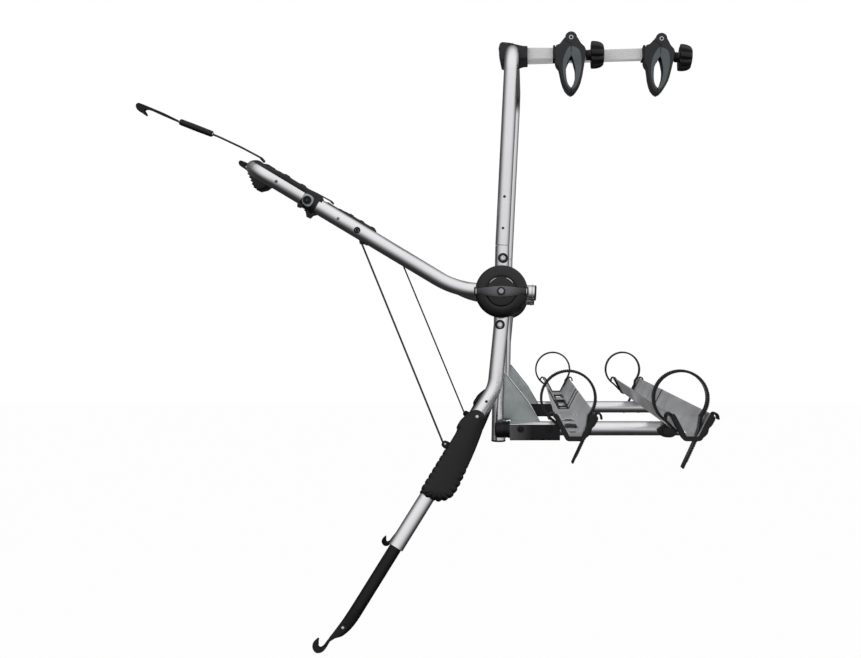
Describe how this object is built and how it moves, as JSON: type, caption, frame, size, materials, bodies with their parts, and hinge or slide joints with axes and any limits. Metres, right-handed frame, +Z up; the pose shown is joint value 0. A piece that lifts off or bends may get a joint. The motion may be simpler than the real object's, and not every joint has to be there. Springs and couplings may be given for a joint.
{
  "type": "hatchback bike rack",
  "caption": "Tube rack that hangs on a car's rear hatch: folding front frame and telescoping padded legs, strapped wheel trays and clamp arms that hold bicycles by their frames.",
  "frame": {"origin": "middle of the axis through the two hubs, on the rack's middle plane", "axes": "+Z up, +X to the rear, away from the car, +Y to the rack's right side seen from behind it"},
  "size_m": [1.1551, 1.226, 1.2772],
  "materials": {
    "aluminium_tube": "satin",
    "pale_aluminium": "matte anodised",
    "grey_plate": "satin",
    "black_plastic": "satin",
    "dark_grey_plastic": "fine grain",
    "black_rubber": "matte",
    "black_steel": "powder coated"
  },
  "bodies": {
    "rack_body": {"upright_frame": "aluminium_tube", "lower_post_left": "aluminium_tube", "lower_post_right": "aluminium_tube", "gusset_left": "grey_plate", "gusset_right": "grey_plate", "platform_bar_left": "aluminium_tube", "platform_bar_right": "aluminium_tube", "bar_cap_left": "black_plastic", "bar_cap_right": "black_plastic", "hub_plate_left": "black_plastic", "hub_plate_right": "black_plastic", "hub_cover_left": "black_plastic", "hub_cover_right": "black_plastic"},
    "wing_knob_left": {"wing_knob_left": "dark_grey_plastic"},
    "wing_knob_right": {"wing_knob_right": "dark_grey_plastic"},
    "front_frame": {"front_frame": "aluminium_tube", "arm_pad_left": "black_rubber", "arm_pad_right": "black_rubber", "arm_clamp_left": "black_plastic", "arm_clamp_right": "black_plastic", "end_foot_left": "black_rubber", "end_foot_right": "black_rubber", "stay_cable_left": "black_steel", "stay_cable_right": "black_steel"},
    "leg_left": {"leg_outer_left": "aluminium_tube"},
    "leg_right": {"leg_outer_right": "aluminium_tube"},
    "leg_inner_left": {"leg_inner_left": "black_steel", "lower_hook_left": "black_steel"},
    "leg_inner_right": {"leg_inner_right": "black_steel", "lower_hook_right": "black_steel"},
    "lower_pad_left": {"lower_pad_left": "black_rubber"},
    "lower_pad_right": {"lower_pad_right": "black_rubber"},
    "upper_hook_left": {"hook_cable_left": "black_steel", "cable_sleeve_left": "black_plastic", "upper_hook_left": "black_steel"},
    "upper_hook_right": {"hook_cable_right": "black_steel", "cable_sleeve_right": "black_plastic", "upper_hook_right": "black_steel"},
    "bike_arm_short": {"arm_connector_short": "dark_grey_plastic", "bike_bar_short": "pale_aluminium", "fixed_jaw_short": "dark_grey_plastic"},
    "bike_arm_long": {"arm_connector_long": "dark_grey_plastic", "bike_bar_long": "pale_aluminium", "fixed_jaw_long": "dark_grey_plastic"},
    "moving_jaw_short": {"moving_jaw_short": "dark_grey_plastic"},
    "moving_jaw_long": {"moving_jaw_long": "dark_grey_plastic"},
    "clamp_knob_short": {"clamp_knob_short": "black_plastic"},
    "clamp_knob_long": {"clamp_knob_long": "black_plastic"},
    "wheel_tray_1": {"tray_1_left": "pale_aluminium", "tray_1_right": "pale_aluminium", "tray_cap_1_left": "black_plastic", "tray_cap_1_right": "black_plastic", "wheel_strap_1_left": "black_rubber", "wheel_strap_1_right": "black_rubber"},
    "wheel_tray_2": {"tray_2_left": "pale_aluminium", "tray_2_right": "pale_aluminium", "tray_cap_2_left": "black_plastic", "tray_cap_2_right": "black_plastic", "wheel_strap_2_left": "black_rubber", "wheel_strap_2_right": "black_rubber"}
  },
  "joints": [
    {"name": "front_frame_fold", "type": "hinge", "parent": "rack_body", "child": "front_frame", "pos_m": [0, 0, 0], "axis": [0, 1, 0], "range_deg": [-10, 50]},
    {"name": "leg_fold_left", "type": "hinge", "parent": "front_frame", "child": "leg_left", "pos_m": [0, -0.296, 0], "axis": [0, 1, 0], "range_deg": [0, 45], "deforming": ["stay_cable_left"]},
    {"name": "leg_fold_right", "type": "hinge", "parent": "front_frame", "child": "leg_right", "pos_m": [0, 0.296, 0], "axis": [0, 1, 0], "range_deg": [0, 45], "deforming": ["stay_cable_right"]},
    {"name": "leg_slide_left", "type": "slide", "parent": "leg_left", "child": "leg_inner_left", "axis": [-0.5112, -0.263, -0.8183], "range_m": [-0.11, 0.05]},
    {"name": "leg_slide_right", "type": "slide", "parent": "leg_right", "child": "leg_inner_right", "axis": [-0.5112, 0.263, -0.8183], "range_m": [-0.11, 0.05]},
    {"name": "pad_swing_left", "type": "hinge", "parent": "leg_left", "child": "lower_pad_left", "pos_m": [-0.05193, -0.33167, -0.26001], "axis": [0.1393, -0.9648, 0.2231], "range_deg": [0, 15]},
    {"name": "pad_swing_right", "type": "hinge", "parent": "leg_right", "child": "lower_pad_right", "pos_m": [-0.05193, 0.33167, -0.26001], "axis": [-0.1393, -0.9648, -0.2231], "range_deg": [0, 15]},
    {"name": "hook_swing_left", "type": "hinge", "parent": "front_frame", "child": "upper_hook_left", "pos_m": [-0.4822, -0.37, 0.2672], "axis": [0, 1, 0], "range_deg": [-20, 35]},
    {"name": "hook_swing_right", "type": "hinge", "parent": "front_frame", "child": "upper_hook_right", "pos_m": [-0.4822, 0.37, 0.2672], "axis": [0, 1, 0], "range_deg": [-20, 35]},
    {"name": "bike_arm_turn_short", "type": "hinge", "parent": "rack_body", "child": "bike_arm_short", "pos_m": [0.0207, -0.178, 0.524], "axis": [0, 1, 0], "range_deg": [-80, 80]},
    {"name": "bike_arm_turn_long", "type": "hinge", "parent": "rack_body", "child": "bike_arm_long", "pos_m": [0.0207, -0.131, 0.524], "axis": [0, 1, 0], "range_deg": [-80, 80]},
    {"name": "jaw_open_short", "type": "hinge", "parent": "bike_arm_short", "child": "moving_jaw_short", "pos_m": [0.1487, -0.178, 0.5569], "axis": [0, -1, 0], "range_deg": [0, 30]},
    {"name": "jaw_open_long", "type": "hinge", "parent": "bike_arm_long", "child": "moving_jaw_long", "pos_m": [0.3517, -0.131, 0.5668], "axis": [0, -1, 0], "range_deg": [0, 30]},
    {"name": "clamp_knob_spin_short", "type": "hinge", "parent": "moving_jaw_short", "child": "clamp_knob_short", "pos_m": [0.1487, -0.178, 0.5233], "axis": [1, 0, 0], "continuous": true},
    {"name": "clamp_knob_spin_long", "type": "hinge", "parent": "moving_jaw_long", "child": "clamp_knob_long", "pos_m": [0.34895, -0.131, 0.53331], "axis": [0.9966, 0, -0.0819], "continuous": true},
    {"name": "wing_knob_spin_left", "type": "hinge", "parent": "rack_body", "child": "wing_knob_left", "pos_m": [0, -0.3338, 0], "axis": [0, 1, 0], "continuous": true},
    {"name": "wing_knob_spin_right", "type": "hinge", "parent": "rack_body", "child": "wing_knob_right", "pos_m": [0, 0.3338, 0], "axis": [0, 1, 0], "continuous": true},
    {"name": "tray_slide_1", "type": "slide", "parent": "rack_body", "child": "wheel_tray_1", "axis": [1, 0, 0], "range_m": [-0.02, 0.04]},
    {"name": "tray_slide_2", "type": "slide", "parent": "rack_body", "child": "wheel_tray_2", "axis": [1, 0, 0], "range_m": [-0.04, 0.01]}
  ]
}
